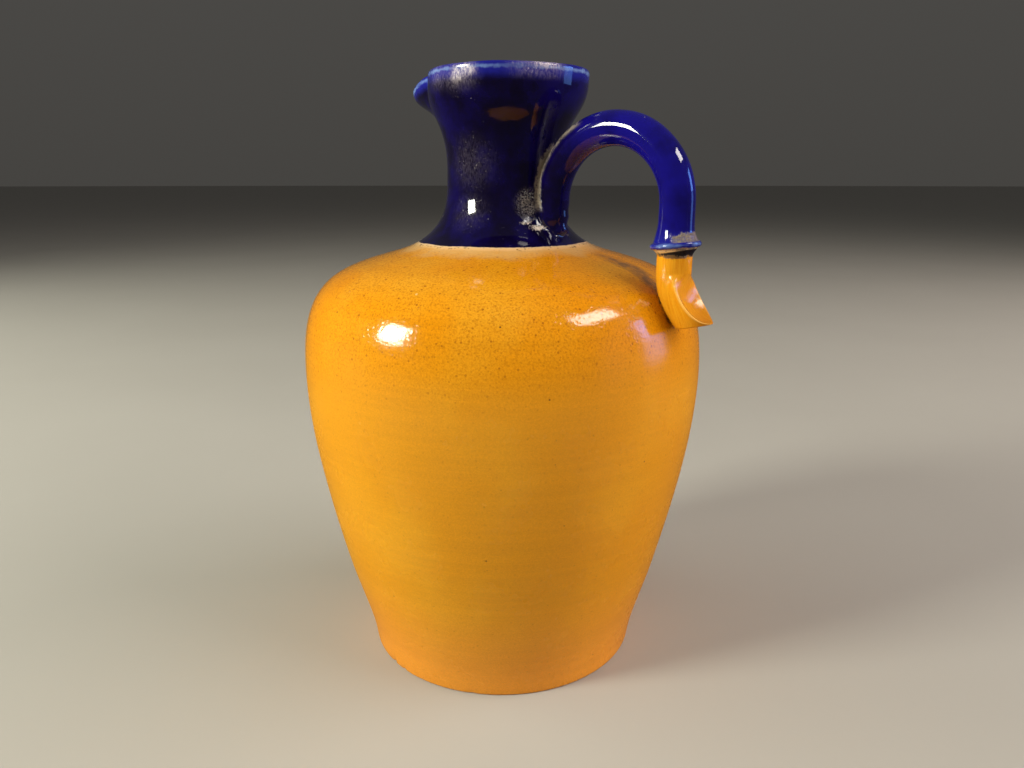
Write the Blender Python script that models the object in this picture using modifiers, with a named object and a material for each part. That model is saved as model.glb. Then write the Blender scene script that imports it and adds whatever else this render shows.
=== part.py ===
"""A stoneware spirit jug: a hollow thrown body with a foot, a belly and a broad shoulder, a waisted neck
with a cup-shaped mouth, a pulled pouring lip, and a tubular bow handle. The handle springs from the neck,
ends in a collar, and below the collar runs on as a thumb-pressed strap that is fused to the shoulder.

Metres, +Z up. The origin is the centre of the underside. The handle is on +X and the pouring lip on -X.
"""
import math

import bmesh
import bpy
from mathutils import Vector
from mathutils.geometry import interpolate_bezier

# Outer profile of the body, from the underside up: radii, heights, and the slope of the wall from level
FOOT_RADIUS = 0.0483
FOOT_SLOPE = math.radians(85.6)
FOOT_CHAMFER = 0.0006
HIP_RADIUS = 0.0565
HIP_HEIGHT = 0.0325
HIP_SLOPE = math.radians(75.4)
BELLY_RADIUS = 0.0684
BELLY_HEIGHT = 0.103
SHOULDER_RADIUS = 0.0362
SHOULDER_HEIGHT = 0.1426
SHOULDER_SLOPE = math.radians(15.9)
NECK_RISE = 0.0244
WAIST_RADIUS = 0.0186
WAIST_HEIGHT = SHOULDER_HEIGHT + NECK_RISE
RIM_HEIGHT = 0.200
CUP_DROP = 0.0045
CUP_RADIUS = 0.0266
CUP_HEIGHT = RIM_HEIGHT - CUP_DROP

# The dark glaze covers the neck and the mouth, down to this height
GLAZE_RISE = 0.0029
GLAZE_LINE = SHOULDER_HEIGHT + GLAZE_RISE

# Fullness of each span of the profile: the pull at its lower and upper end, as shares of its chord
FOOT_PULL = (0.30, 0.335)
BODY_PULL = (0.314, 0.31)
SHOULDER_PULL = (0.62, 0.43)
FLARE_PULL = (0.58, 0.295)
CUP_PULL = (0.61, 0.325)
STRAP_BACK_PULL = (0.42, 0.32)
STRAP_RIDGE_PULL = (0.12, 0.24)

# How far a joined piece starts below the surface of the one it grows from
JOIN_SINK = 0.0006

# Points closer than this are one point: on the axis of a turned shape, and round the cap of a tube
AXIS_MERGE = 0.0000005
CAP_WELD = 0.000001

# Wall, floor and lip
WALL = 0.0055
MOUTH_WALL = 0.0040
FLOOR = 0.0065
FLOOR_CORNER = 0.008
LIP_HEIGHT = 0.0016
LIP_SQUARENESS = 3.0

# The jug isn't quite true: from the foot up to the belly, and again from the waist up to the rim, its centre
# drifts towards the handle
BODY_SHIFT = 0.0006
MOUTH_SHIFT = 0.0024

# Pouring lip: its reach past the cup, its half angle, its dip, how deep below the rim it starts, and the
# narrow place on each side of it
SPOUT_REACH = 0.0130
SPOUT_HALF_ANGLE = math.radians(46)
SPOUT_SHARPNESS = 1.5
SPOUT_DIP = 0.0050
SPOUT_DEPTH = 0.020
SPOUT_START = RIM_HEIGHT - SPOUT_DEPTH
SPOUT_PINCH = 0.0008
SPOUT_PINCH_ANGLE = math.radians(52)
SPOUT_PINCH_WIDTH = math.radians(16)

# The handle hangs from its collar, which stands this far above the edge of the shoulder
COLLAR_RISE = 0.0057
COLLAR_HEIGHT = SHOULDER_HEIGHT + COLLAR_RISE

# Handle tube: its radius, its straight leg up to where the bow springs, and its root along the neck, which
# rises out of the flare along a curve of this power and reaches its full radius at this share of its height
TUBE_RADIUS = 0.00525
TUBE_TIP_RADIUS = 0.0032
LEG_LENGTH = 0.0107
SPRING_HEIGHT = COLLAR_HEIGHT + LEG_LENGTH
ROOT_RUN = 0.0108
ROOT_END_HEIGHT = SPRING_HEIGHT - ROOT_RUN
ROOT_PROUD = 0.0019
ROOT_SUNK = 0.0009
ROOT_CURVE = 1.5
ROOT_FULL_SHARE = 0.5

# Collar at the foot of the handle's outer leg. The tube above it and the strap below it end inside its edge,
# at these shares of the edge's height.
COLLAR_RADIUS = 0.0075
COLLAR_EDGE = 0.0019
COLLAR_FLARE = 0.0058
COLLAR_FLARE_CURVE = 2
COLLAR_UNDERCUT = 0.0022
COLLAR_TILT = math.radians(5.7)
TUBE_SEAT = 0.25
STRAP_SEAT = 0.75

# Strap below the collar: how far down it turns outwards, its run from there to its cut end, and its pointed
# tip
STRAP_RADIUS = 0.0053
STRAP_NECK = 0.0088
STRAP_BEND_HEIGHT = COLLAR_HEIGHT - STRAP_NECK
STRAP_RUN = 0.0166
STRAP_END_HEIGHT = STRAP_BEND_HEIGHT - STRAP_RUN
STRAP_END_SWEEP = 0.0073
STRAP_END_SLOPE = math.radians(48)
STRAP_END_THICKNESS = 0.0113
STRAP_TIP_RISE = 0.0023
STRAP_TIP_SLOPE = math.radians(11)

# The strap's back is pressed into the shoulder, this deep and this far above its end
STRAP_TOUCH_RISE = 0.0061
STRAP_TOUCH_HEIGHT = STRAP_END_HEIGHT + STRAP_TOUCH_RISE
STRAP_PRESS = 0.0007

# Thumb scoop in the strap: it opens at this angle round the rod, is widest and deepest at these shares of the
# strap's length, and closes towards the tip along a curve of this power
SCOOP_ANGLE = math.radians(63)
SCOOP_HALF_WIDTH = 0.0069
SCOOP_DEPTH = 0.0024
SCOOP_TIP_HALF_WIDTH = 0.0008
SCOOP_WIDEST = 0.32
SCOOP_DEEPEST = 0.6
SCOOP_CLOSING = 3.2

# Colours: ochre salt glaze, and dark blue glaze
OCHRE = (0.62, 0.33, 0.07, 1.0)
COBALT = (0.012, 0.010, 0.13, 1.0)

# Fineness of the facets
TURN_STEPS = 44
SPAN_STEPS = {"foot": 4, "body": 9, "shoulder": 11, "flare": 8, "cup": 8}
LIP_STEPS = 6
CORNER_STEPS = 4
ROOT_STEPS = 5
BOW_STEPS = 14
COLLAR_STEPS = 24
COLLAR_FLARE_STEPS = 5
COLLAR_EDGE_STEPS = 4
STRAP_SECTIONS = 12
STRAP_BACK_STEPS = 16
STRAP_SCOOP_STEPS = 6
TUBE_BEVEL_RESOLUTION = 6


def new_collection(name):
    collection = bpy.data.collections.new(name)
    bpy.context.scene.collection.children.link(collection)
    return collection


def glaze_material(name, colour, roughness):
    material = bpy.data.materials.new(name)
    material.use_nodes = True
    shader = material.node_tree.nodes["Principled BSDF"]
    shader.inputs["Base Color"].default_value = colour
    shader.inputs["Roughness"].default_value = roughness
    shader.inputs["Metallic"].default_value = 0.0
    material.diffuse_color = colour
    return material


def new_object(name, data, collection):
    made = bpy.data.objects.new(name, data)
    collection.objects.link(made)
    return made


def direction(angle):
    """Unit vector in the profile plane, at an angle from level."""
    return Vector((math.cos(angle), math.sin(angle)))


def span(start, start_angle, end, end_angle, pulls, steps):
    """Points of one smooth span between two points of the profile, without its last point."""
    chord = (end - start).length
    lower = start + direction(start_angle) * chord * pulls[0]
    upper = end - direction(end_angle) * chord * pulls[1]
    corners = [Vector((p.x, p.y, 0.0)) for p in (start, lower, upper, end)]
    points = interpolate_bezier(*corners, steps + 1)
    return [Vector((p.x, p.y)) for p in points[:-1]]


def outer_profile(steps):
    """Outside of the jug as radius and height, from the foot up to the widest part of the cup."""
    upright = math.radians(90)
    inwards = math.radians(180) - SHOULDER_SLOPE
    foot = Vector((FOOT_RADIUS, 0.0))
    hip = Vector((HIP_RADIUS, HIP_HEIGHT))
    belly = Vector((BELLY_RADIUS, BELLY_HEIGHT))
    shoulder = Vector((SHOULDER_RADIUS, SHOULDER_HEIGHT))
    waist = Vector((WAIST_RADIUS, WAIST_HEIGHT))
    cup = Vector((CUP_RADIUS, CUP_HEIGHT))
    points = span(foot, FOOT_SLOPE, hip, HIP_SLOPE, FOOT_PULL, steps["foot"])
    points += span(hip, HIP_SLOPE, belly, upright, BODY_PULL, steps["body"])
    points += span(belly, upright, shoulder, inwards, SHOULDER_PULL, steps["shoulder"])
    points += span(shoulder, inwards, waist, upright, FLARE_PULL, steps["flare"])
    points += span(waist, upright, cup, upright, CUP_PULL, steps["cup"])
    points.append(cup)
    return points


def radius_at(profile, height):
    """Outer radius at a height, read between the profile's points."""
    for low, high in zip(profile, profile[1:]):
        if low.y <= height <= high.y:
            share = (height - low.y) / (high.y - low.y)
            return low.x + (high.x - low.x) * share
    return profile[-1].x


def wall_at(height):
    """Wall thickness: full up to the waist, thinning towards the mouth."""
    share = (height - WAIST_HEIGHT) / (CUP_HEIGHT - WAIST_HEIGHT)
    share = min(max(share, 0.0), 1.0)
    return WALL + (MOUTH_WALL - WALL) * share


def inner_profile(outer):
    """Inside of the wall: the outer profile moved in along its normal, from the mouth down to the floor."""
    points = []
    corner_top = FLOOR + FLOOR_CORNER
    for i in range(len(outer) - 1, 0, -1):
        following = outer[min(i + 1, len(outer) - 1)]
        along = (following - outer[i - 1]).normalized()
        inside = outer[i] + Vector((-along.y, along.x)) * wall_at(outer[i].y)
        if inside.y > corner_top:
            points.append(inside)
    wall_foot = Vector((points[-1].x, corner_top))
    for i in range(CORNER_STEPS + 1):
        turn = math.radians(90) * i / CORNER_STEPS
        inset = Vector((math.cos(turn) - 1.0, -math.sin(turn))) * FLOOR_CORNER
        points.append(wall_foot + inset)
    return points


def lip_profile(outside, inside):
    """Rounded top of the rim, from the outer wall over to the inner wall."""
    middle = (outside.x + inside.x) / 2
    half = (outside.x - inside.x) / 2
    base = RIM_HEIGHT - LIP_HEIGHT
    power = 2 / LIP_SQUARENESS
    points = []
    for i in range(LIP_STEPS + 1):
        turn = math.pi * i / LIP_STEPS
        sideways = math.copysign(abs(math.cos(turn)) ** power, math.cos(turn))
        points.append(Vector((middle + half * sideways, base + LIP_HEIGHT * math.sin(turn) ** power)))
    return points


def turned_profile(outer):
    """The whole cut through the wall, from the axis at the underside round to the axis on the floor."""
    inner = inner_profile(outer)
    underside = [Vector((0.0, 0.0)), Vector((FOOT_RADIUS - FOOT_CHAMFER, 0.0))]
    outside = [Vector((FOOT_RADIUS, FOOT_CHAMFER))] + outer[1:]
    lip = lip_profile(outer[-1], inner[0])
    floor = [Vector((0.0, FLOOR))]
    return underside + outside + lip + inner + floor


def turned_mesh(name, profile, steps, collection):
    """Closed turned body from a profile that starts and ends on the axis; its wall faces out."""
    mesh = bpy.data.meshes.new(name)
    points = [(p.x, 0.0, p.y) for p in reversed(profile)]
    edges = [(i, i + 1) for i in range(len(points) - 1)]
    mesh.from_pydata(points, edges, [])
    made = new_object(name, mesh, collection)
    screw = made.modifiers.new("turn", "SCREW")
    screw.axis = "Z"
    screw.steps = steps
    screw.render_steps = steps
    screw.use_merge_vertices = True
    screw.merge_threshold = AXIS_MERGE
    screw.use_smooth_shade = True
    return made


def fixed_mesh(source, name, collection):
    """A new object that holds the source's shape with its modifiers worked out; the source is removed."""
    bpy.context.view_layer.update()
    evaluated = source.evaluated_get(bpy.context.evaluated_depsgraph_get())
    mesh = bpy.data.meshes.new_from_object(evaluated)
    mesh.name = name
    made = new_object(name, mesh, collection)
    made.matrix_world = source.matrix_world.copy()
    bpy.data.objects.remove(source)
    shape = bmesh.new()
    shape.from_mesh(mesh)
    bmesh.ops.remove_doubles(shape, verts=shape.verts, dist=CAP_WELD)
    bmesh.ops.recalc_face_normals(shape, faces=shape.faces)
    shape.to_mesh(mesh)
    shape.free()
    return made


def ease(value):
    """Smooth step from 0 to 1."""
    value = min(max(value, 0.0), 1.0)
    return value * value * (3 - 2 * value)


def centre_shift(height):
    """How far the jug's centre lies towards the handle at a height."""
    body = min(max(height / BELLY_HEIGHT, 0.0), 1.0)
    mouth = (height - WAIST_HEIGHT) / (RIM_HEIGHT - WAIST_HEIGHT)
    return BODY_SHIFT * body + MOUTH_SHIFT * min(max(mouth, 0.0), 1.0)


def pull_spout(point):
    """Where a point of the turned wall goes when the jug's centre drifts and its lip is pulled."""
    shift = centre_shift(point.z)
    radius = math.hypot(point.x, point.y)
    if point.z <= SPOUT_START or radius == 0.0:
        return Vector((point.x + shift, point.y, point.z))
    angle = math.atan2(point.y, -point.x)
    height = ease((point.z - SPOUT_START) / (RIM_HEIGHT - SPOUT_START))
    if abs(angle) < SPOUT_HALF_ANGLE:
        crest = (0.5 + 0.5 * math.cos(math.pi * angle / SPOUT_HALF_ANGLE)) ** SPOUT_SHARPNESS
    else:
        crest = 0.0
    pinch = math.exp(-((abs(angle) - SPOUT_PINCH_ANGLE) / SPOUT_PINCH_WIDTH) ** 2)
    reach = radius + height * (SPOUT_REACH * crest - SPOUT_PINCH * pinch)
    drop = SPOUT_DIP * crest * height * height
    return Vector((shift - reach * math.cos(angle), reach * math.sin(angle), point.z - drop))


def make_vessel(profile, collection, ochre, cobalt):
    """The thrown body with its neck and mouth, hollow and open at the top."""
    turned = turned_mesh("vessel_turned", profile, TURN_STEPS, collection)
    vessel = fixed_mesh(turned, "jug", collection)
    for vertex in vessel.data.vertices:
        vertex.co = pull_spout(vertex.co)
    vessel.data.materials.append(ochre)
    vessel.data.materials.append(cobalt)
    for face in vessel.data.polygons:
        face.material_index = 1 if face.center.z > GLAZE_LINE else 0
    return vessel


def strap_lines():
    """Back line and ridge line of the strap, in the handle's plane, measured from the leg's axis."""
    down = -math.radians(90)
    back_start = Vector((-STRAP_RADIUS, STRAP_BEND_HEIGHT))
    back_end = Vector((STRAP_END_SWEEP - STRAP_RADIUS, STRAP_END_HEIGHT))
    ridge_start = Vector((STRAP_RADIUS * math.cos(SCOOP_ANGLE), STRAP_BEND_HEIGHT))
    ridge_end = back_end + Vector((STRAP_END_THICKNESS, STRAP_TIP_RISE))
    steps = STRAP_SECTIONS
    back = span(back_start, down, back_end, -STRAP_END_SLOPE, STRAP_BACK_PULL, steps) + [back_end]
    ridge = span(ridge_start, down, ridge_end, -STRAP_TIP_SLOPE, STRAP_RIDGE_PULL, steps) + [ridge_end]
    return back, ridge


def surface_at(outer, height):
    """Where the outside of the body lies on the handle's side at a height."""
    return radius_at(outer, height) + centre_shift(height)


def leg_distance(outer):
    """Distance of the handle's outer leg from the axis: the strap's back is pressed onto the shoulder."""
    back = strap_lines()[0]
    touch = radius_at(back[::-1], STRAP_TOUCH_HEIGHT)
    return surface_at(outer, STRAP_TOUCH_HEIGHT) - STRAP_PRESS - touch


def handle_route(outer, leg):
    """Centre line and radius of the handle's tube: up the neck, over the bow, and down to the collar."""
    route = []
    root_height = SPRING_HEIGHT - ROOT_END_HEIGHT
    for i in range(ROOT_STEPS):
        share = i / ROOT_STEPS
        height = ROOT_END_HEIGHT + root_height * share
        proud = -ROOT_SUNK + (ROOT_PROUD + ROOT_SUNK) * share ** ROOT_CURVE
        radius = TUBE_TIP_RADIUS + (TUBE_RADIUS - TUBE_TIP_RADIUS) * ease(share / ROOT_FULL_SHARE)
        route.append((surface_at(outer, height) + proud, height, radius))
    root = surface_at(outer, SPRING_HEIGHT) + ROOT_PROUD
    middle = (root + leg) / 2
    bow = (leg - root) / 2
    for i in range(BOW_STEPS + 1):
        turn = math.pi * (1 - i / BOW_STEPS)
        route.append((middle + bow * math.cos(turn), SPRING_HEIGHT + bow * math.sin(turn), TUBE_RADIUS))
    route.append((leg, COLLAR_HEIGHT + COLLAR_FLARE, TUBE_RADIUS))
    route.append((leg, COLLAR_HEIGHT - COLLAR_EDGE * TUBE_SEAT, TUBE_RADIUS))
    return route


def make_handle(route, collection, material):
    """The bow as a round tube along its route."""
    curve = bpy.data.curves.new("handle_curve", "CURVE")
    curve.dimensions = "3D"
    curve.bevel_depth = 1.0
    curve.bevel_resolution = TUBE_BEVEL_RESOLUTION
    curve.use_fill_caps = True
    spline = curve.splines.new("POLY")
    spline.points.add(len(route) - 1)
    for point, (x, z, radius) in zip(spline.points, route):
        point.co = (x, 0.0, z, 1.0)
        point.radius = radius
    bow = fixed_mesh(new_object("handle_curve", curve, collection), "handle_bow", collection)
    bow.data.materials.append(material)
    return bow


def collar_profile():
    """Cut through the collar, as radius and height from its upper edge, from its underside up."""
    points = [Vector((0.0, -COLLAR_EDGE - COLLAR_UNDERCUT))]
    points.append(Vector((STRAP_RADIUS - JOIN_SINK, -COLLAR_EDGE - COLLAR_UNDERCUT)))
    half = COLLAR_EDGE / 2
    for i in range(COLLAR_EDGE_STEPS + 1):
        turn = math.radians(180) * i / COLLAR_EDGE_STEPS - math.radians(90)
        points.append(Vector((COLLAR_RADIUS - half + half * math.cos(turn), half * math.sin(turn) - half)))
    neck = TUBE_RADIUS - JOIN_SINK
    for i in range(1, COLLAR_FLARE_STEPS + 1):
        rise = i / COLLAR_FLARE_STEPS
        radius = neck + (COLLAR_RADIUS - half - neck) * (1 - rise) ** COLLAR_FLARE_CURVE
        points.append(Vector((radius, COLLAR_FLARE * rise)))
    points.append(Vector((0.0, COLLAR_FLARE)))
    return points


def make_collar(leg, collection, material):
    """The collar that ends the dark tube, tilted up on its outer side."""
    turned = turned_mesh("collar_turned", collar_profile(), COLLAR_STEPS, collection)
    turned.rotation_euler = (0.0, -COLLAR_TILT, 0.0)
    turned.location = (leg, 0.0, COLLAR_HEIGHT)
    collar = fixed_mesh(turned, "handle_collar", collection)
    collar.data.materials.append(material)
    return collar


def strap_section(back, ridge, half_width, depth):
    """One section of the strap: a round back, sides that run out to two ridges, and the face between them."""
    across = ridge - back
    length = across.length
    across = across / length
    spread = half_width / (STRAP_RADIUS * math.sin(SCOOP_ANGLE)) - 1
    points = []
    for i in range(STRAP_BACK_STEPS + 1):
        turn = SCOOP_ANGLE + 2 * (math.pi - SCOOP_ANGLE) * i / STRAP_BACK_STEPS
        out = math.cos(turn)
        side = STRAP_RADIUS * math.sin(turn)
        if out > 0:
            share = out / math.cos(SCOOP_ANGLE)
            reach = STRAP_RADIUS + (length - STRAP_RADIUS) * share
            side *= 1 + spread * share ** 2
        else:
            reach = STRAP_RADIUS * (1 + out)
        points.append((back + across * reach, side))
    for i in range(1, STRAP_SCOOP_STEPS):
        side = 2 * i / STRAP_SCOOP_STEPS - 1
        points.append((back + across * (length - depth * (1 - side * side)), half_width * side))
    return points


def make_strap(leg, collection, material):
    """The strap below the collar: a round rod that becomes a thumb-pressed scoop with a turned-out tip."""
    back, ridge = strap_lines()
    start_width = STRAP_RADIUS * math.sin(SCOOP_ANGLE)
    bulge = STRAP_RADIUS * (1 - math.cos(SCOOP_ANGLE))
    top = Vector((0.0, COLLAR_HEIGHT - COLLAR_EDGE * STRAP_SEAT - STRAP_BEND_HEIGHT))
    sections = [strap_section(back[0] + top, ridge[0] + top, start_width, -bulge)]
    for i in range(STRAP_SECTIONS + 1):
        share = i / STRAP_SECTIONS
        if share < SCOOP_WIDEST:
            half_width = start_width + (SCOOP_HALF_WIDTH - start_width) * ease(share / SCOOP_WIDEST)
        else:
            closing = ((share - SCOOP_WIDEST) / (1 - SCOOP_WIDEST)) ** SCOOP_CLOSING
            half_width = SCOOP_HALF_WIDTH + (SCOOP_TIP_HALF_WIDTH - SCOOP_HALF_WIDTH) * closing
        depth = -bulge + (SCOOP_DEPTH + bulge) * ease(share / SCOOP_DEEPEST)
        depth = depth * min(half_width / SCOOP_HALF_WIDTH, 1.0) if depth > 0 else depth
        sections.append(strap_section(back[i], ridge[i], half_width, depth))
    shape = bmesh.new()
    rings = []
    for section in sections:
        rings.append([shape.verts.new((leg + place.x, side, place.y)) for place, side in section])
    count = len(rings[0])
    for upper, lower in zip(rings, rings[1:]):
        for i in range(count):
            j = (i + 1) % count
            shape.faces.new((upper[i], upper[j], lower[j], lower[i]))
    shape.faces.new(rings[0])
    shape.faces.new(rings[-1][::-1])
    bmesh.ops.recalc_face_normals(shape, faces=shape.faces)
    mesh = bpy.data.meshes.new("handle_strap")
    shape.to_mesh(mesh)
    shape.free()
    strap = new_object("handle_strap", mesh, collection)
    strap.data.materials.append(material)
    return strap


def join(base, added):
    """Fuse a shape into the base with a live Boolean union, and keep it only as a guide."""
    union = base.modifiers.new("join_" + added.name, "BOOLEAN")
    union.operation = "UNION"
    union.solver = "EXACT"
    union.material_mode = "TRANSFER"
    union.object = added
    added.hide_render = True
    added.display_type = "WIRE"


def main():
    for leftover in list(bpy.data.objects):
        bpy.data.objects.remove(leftover)
    parts = new_collection("stoneware_jug")
    guides = new_collection("jug_guides")
    ochre = glaze_material("ochre_salt_glaze", OCHRE, 0.25)
    cobalt = glaze_material("cobalt_glaze", COBALT, 0.08)
    outer = outer_profile(SPAN_STEPS)
    jug = make_vessel(turned_profile(outer), parts, ochre, cobalt)
    leg = leg_distance(outer)
    join(jug, make_handle(handle_route(outer, leg), guides, cobalt))
    join(jug, make_collar(leg, guides, cobalt))
    join(jug, make_strap(leg, guides, ochre))


main()
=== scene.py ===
"""The finished surface of a stoneware jug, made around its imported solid.

One fired piece: an ochre salt-glazed body and strap, and a dark cobalt glaze on the neck, the mouth and the
handle down to its collar. Metres, +Z up. The handle is on +X and the pouring lip on -X.
"""

import math

import bmesh
import bpy
import numpy as np
from mathutils import Matrix, Vector, noise
from mathutils.bvhtree import BVHTree
from mathutils.kdtree import KDTree

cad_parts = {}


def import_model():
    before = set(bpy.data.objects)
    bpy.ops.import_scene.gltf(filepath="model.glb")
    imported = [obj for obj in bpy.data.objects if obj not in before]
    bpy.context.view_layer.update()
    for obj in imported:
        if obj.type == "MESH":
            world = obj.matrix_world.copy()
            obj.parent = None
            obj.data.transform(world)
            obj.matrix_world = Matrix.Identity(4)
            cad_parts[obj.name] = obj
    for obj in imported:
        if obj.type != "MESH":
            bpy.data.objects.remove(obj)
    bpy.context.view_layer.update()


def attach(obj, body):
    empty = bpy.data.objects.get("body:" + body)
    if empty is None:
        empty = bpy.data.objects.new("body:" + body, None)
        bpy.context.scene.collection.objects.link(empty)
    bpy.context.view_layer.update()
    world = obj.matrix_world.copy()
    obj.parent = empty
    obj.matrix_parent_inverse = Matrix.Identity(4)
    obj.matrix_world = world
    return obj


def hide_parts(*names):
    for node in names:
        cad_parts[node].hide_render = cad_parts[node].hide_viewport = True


MM = 0.001

# What each point of the mesh holds: how far inside the dark glaze it lies, how far from an edge where glaze
# runs thin (on the strap, from its ridges, where a highlight is painted), 1 where the clay is bare, 1 on the
# strap, and its place on the strap. Lengths are in millimetres.
KINDS = ("cobalt", "edge_distance", "bare", "strap", "along", "around")

# Outer profile of the body, from the underside up: radii, heights, and the slope of the wall from level
FOOT_RADIUS = 0.0483
FOOT_SLOPE = math.radians(85.6)
FOOT_ROUND = 0.0008
HIP_RADIUS = 0.0565
HIP_HEIGHT = 0.0325
HIP_SLOPE = math.radians(75.4)
BELLY_RADIUS = 0.0684
BELLY_HEIGHT = 0.103
SHOULDER_RADIUS = 0.0362
SHOULDER_HEIGHT = 0.1426
SHOULDER_SLOPE = math.radians(15.9)
WAIST_RADIUS = 0.0186
WAIST_HEIGHT = SHOULDER_HEIGHT + 0.0244
RIM_HEIGHT = 0.200
CUP_RADIUS = 0.0266
CUP_HEIGHT = RIM_HEIGHT - 0.0045

# Height of the edge of the dark glaze outside, and inside the neck
GLAZE_LINE = SHOULDER_HEIGHT + 0.0031
INNER_GLAZE_LINE = 0.158

# Fullness of each span of the profile: the pull at its lower and upper end, as shares of its chord
FOOT_PULL = (0.30, 0.335)
BODY_PULL = (0.314, 0.31)
SHOULDER_PULL = (0.62, 0.43)
FLARE_PULL = (0.58, 0.295)
CUP_PULL = (0.61, 0.325)
STRAP_BACK_PULL = (0.42, 0.32)
STRAP_RIDGE_PULL = (0.12, 0.24)

# Wall, floor and lip
WALL = 0.0055
MOUTH_WALL = 0.0040
FLOOR = 0.0065
FLOOR_CORNER = 0.008
LIP_HEIGHT = 0.0016
LIP_SQUARENESS = 3.0

# The jug's centre drifts towards the handle, up to the belly and again from the waist to the rim
BODY_SHIFT = 0.0006
MOUTH_SHIFT = 0.0024

# Pouring lip
SPOUT_REACH = 0.0130
SPOUT_HALF_ANGLE = math.radians(46)
SPOUT_SHARPNESS = 1.5
SPOUT_DIP = 0.0050
SPOUT_START = RIM_HEIGHT - 0.020
SPOUT_PINCH = 0.0008
SPOUT_PINCH_ANGLE = math.radians(52)
SPOUT_PINCH_WIDTH = math.radians(16)
SPOUT_CREASE = 0.0013
SPOUT_CREASE_ANGLE = math.radians(35)
SPOUT_CREASE_WIDTH = math.radians(6)

# Handle tube, from its root on the neck over the bow and down to the collar
COLLAR_HEIGHT = SHOULDER_HEIGHT + 0.0057
TUBE_RADIUS = 0.00525
TUBE_TIP_RADIUS = 0.0032
SPRING_HEIGHT = COLLAR_HEIGHT + 0.0107
ROOT_END_HEIGHT = SPRING_HEIGHT - 0.0108
ROOT_PROUD = 0.0019
ROOT_SUNK = 0.0009
ROOT_CURVE = 1.5
ROOT_FULL_SHARE = 0.5

# Collar
COLLAR_RADIUS = 0.0075
COLLAR_EDGE = 0.0019
COLLAR_FLARE = 0.0058
COLLAR_FLARE_CURVE = 2
COLLAR_UNDERCUT = 0.0022
COLLAR_TILT = math.radians(5.7)
COLLAR_LAP = 0.0006
STRAP_SEAT = 0.75

# Strap and its thumb scoop
STRAP_RADIUS = 0.0053
STRAP_BEND_HEIGHT = COLLAR_HEIGHT - 0.0088
STRAP_END_HEIGHT = STRAP_BEND_HEIGHT - 0.0166
STRAP_END_SWEEP = 0.0073
STRAP_END_SLOPE = math.radians(48)
STRAP_END_THICKNESS = 0.0113
STRAP_TIP_RISE = 0.0023
STRAP_TIP_SLOPE = math.radians(11)
STRAP_TOUCH_HEIGHT = STRAP_END_HEIGHT + 0.0061
STRAP_PRESS = 0.0007
STRAP_END_ROUND = 0.0003
SCOOP_ANGLE = math.radians(63)
SCOOP_HALF_WIDTH = 0.0069
SCOOP_DEPTH = 0.0024
SCOOP_TIP_HALF_WIDTH = 0.0008
SCOOP_WIDEST = 0.32
SCOOP_DEEPEST = 0.6
SCOOP_CLOSING = 3.2

# Glaze that has run into a joint: how far out it builds up, how it is smoothed, and how far out dirt may lie
FILLET = 0.0016
FILLET_SMOOTHING = 8
JOINT_REACH = 0.012

# Unevenness of the thrown wall and of the top of the rim, which only take away, and of the handle's tube
WALL_UNEVEN = 0.00022
RIM_UNEVEN = 0.00035
TUBE_UNEVEN = 0.00016

# Dark glaze, in millimetres: the wave of its lower edge, and the drop that stands for all of the tube; then
# the share of the collar's edge that it covers, and how it thins there
GLAZE_LINE_WAVE = 0.7
ABOVE_COLLAR = -20.0
COLLAR_GLAZED = 0.93
COLLAR_EDGE_THIN = 0.18
COLLAR_EDGE_THINNING = 0.8

# Small nicks in the edge of the foot: angle round the jug and half width, in degrees, and depth
FOOT_NICKS = (
    (-104.0, 1.5, 0.0009),
    (-97.0, 1.1, 0.0006),
    (-63.0, 0.9, 0.0004),
    (48.0, 1.4, 0.0007),
    (152.0, 1.2, 0.0005),
)
NICK_HEIGHT = 0.0022

# Spacing of the mesh along the profile and round the jug, and its finer parts: angle, width and spacing
BODY_SPACING = 0.0021
UPPER_SPACING = 0.0008
UPPER_START = 0.116
UNDER_STEPS = 8
FOOT_STEPS = 4
LIP_STEPS = 16
CORNER_STEPS = 11
INNER_SPACING = 0.0042
FLOOR_SPACING = 0.006
TURN_SPACING = math.radians(2.0)
FINE_TURNS = (
    (0.0, 10.0, 0.55),
    (180.0, 42.0, 1.0),
    (-100.0, 8.0, 0.8),
)
ROOT_STEPS = 13
BOW_SPACING = 0.0011
RING_STEPS = 56
FLARE_STEPS = 13
EDGE_STEPS = 12
UNDERCUT_STEPS = 6
STRAP_TOP_ROWS = 7
STRAP_ROWS = 36
STRAP_BACK_STEPS = 18
STRAP_SCOOP_STEPS = 8
STRAP_ROUNDINGS = 2

# Patches on the jug, in millimetres: centre, distance from it where the patch ends and where it is full, and
# factors on the distances along X, Y and Z
BOW_CENTRE = (44.1, 0.0, 159.0)
IN_PLANE = (1.0, 0.0, 1.0)
PATCH_INNER = (BOW_CENTRE, 24.4, 25.6, IN_PLANE)
SLEEVE_INNER = (BOW_CENTRE, 23.9, 25.4, IN_PLANE)
SLEEVE_OUTER = (BOW_CENTRE, 28.6, 27.9, IN_PLANE)
SLEEVE_PLACE = ((26, -2, 174), 13, 9)
CUP_HAZE = ((5, -27, 196.0), 9.5)
LIP_HAZE = ((-4, -25, 197), 8)
RIGHT_HAZE = ((25, -13, 198.5), 12, 3)
NECK_HAZE = ((3, -19.5, 171), 12)
LOW_NECK_HAZE = ((3, -20, 156), 9)
RIM_SCUFF = ((8.4, -26.5, 197.6), 4.2, 0.5, (1.0, 1.0, 1.5))
CUP_SCUFF = ((4.5, -27, 196.4), 3.4)
RIGHT_SCUFF = ((27, -11.5, 199.2), 7.0, 2.0, (1.0, 1.0, 3.5))
CUP_SCRATCHES = ((6, -26, 192), 7)
NECK_SCRATCHES = ((20, -17, 148.5), 7)
ROOT_DIRT = ((22, 0, 164), 26, 19)
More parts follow.
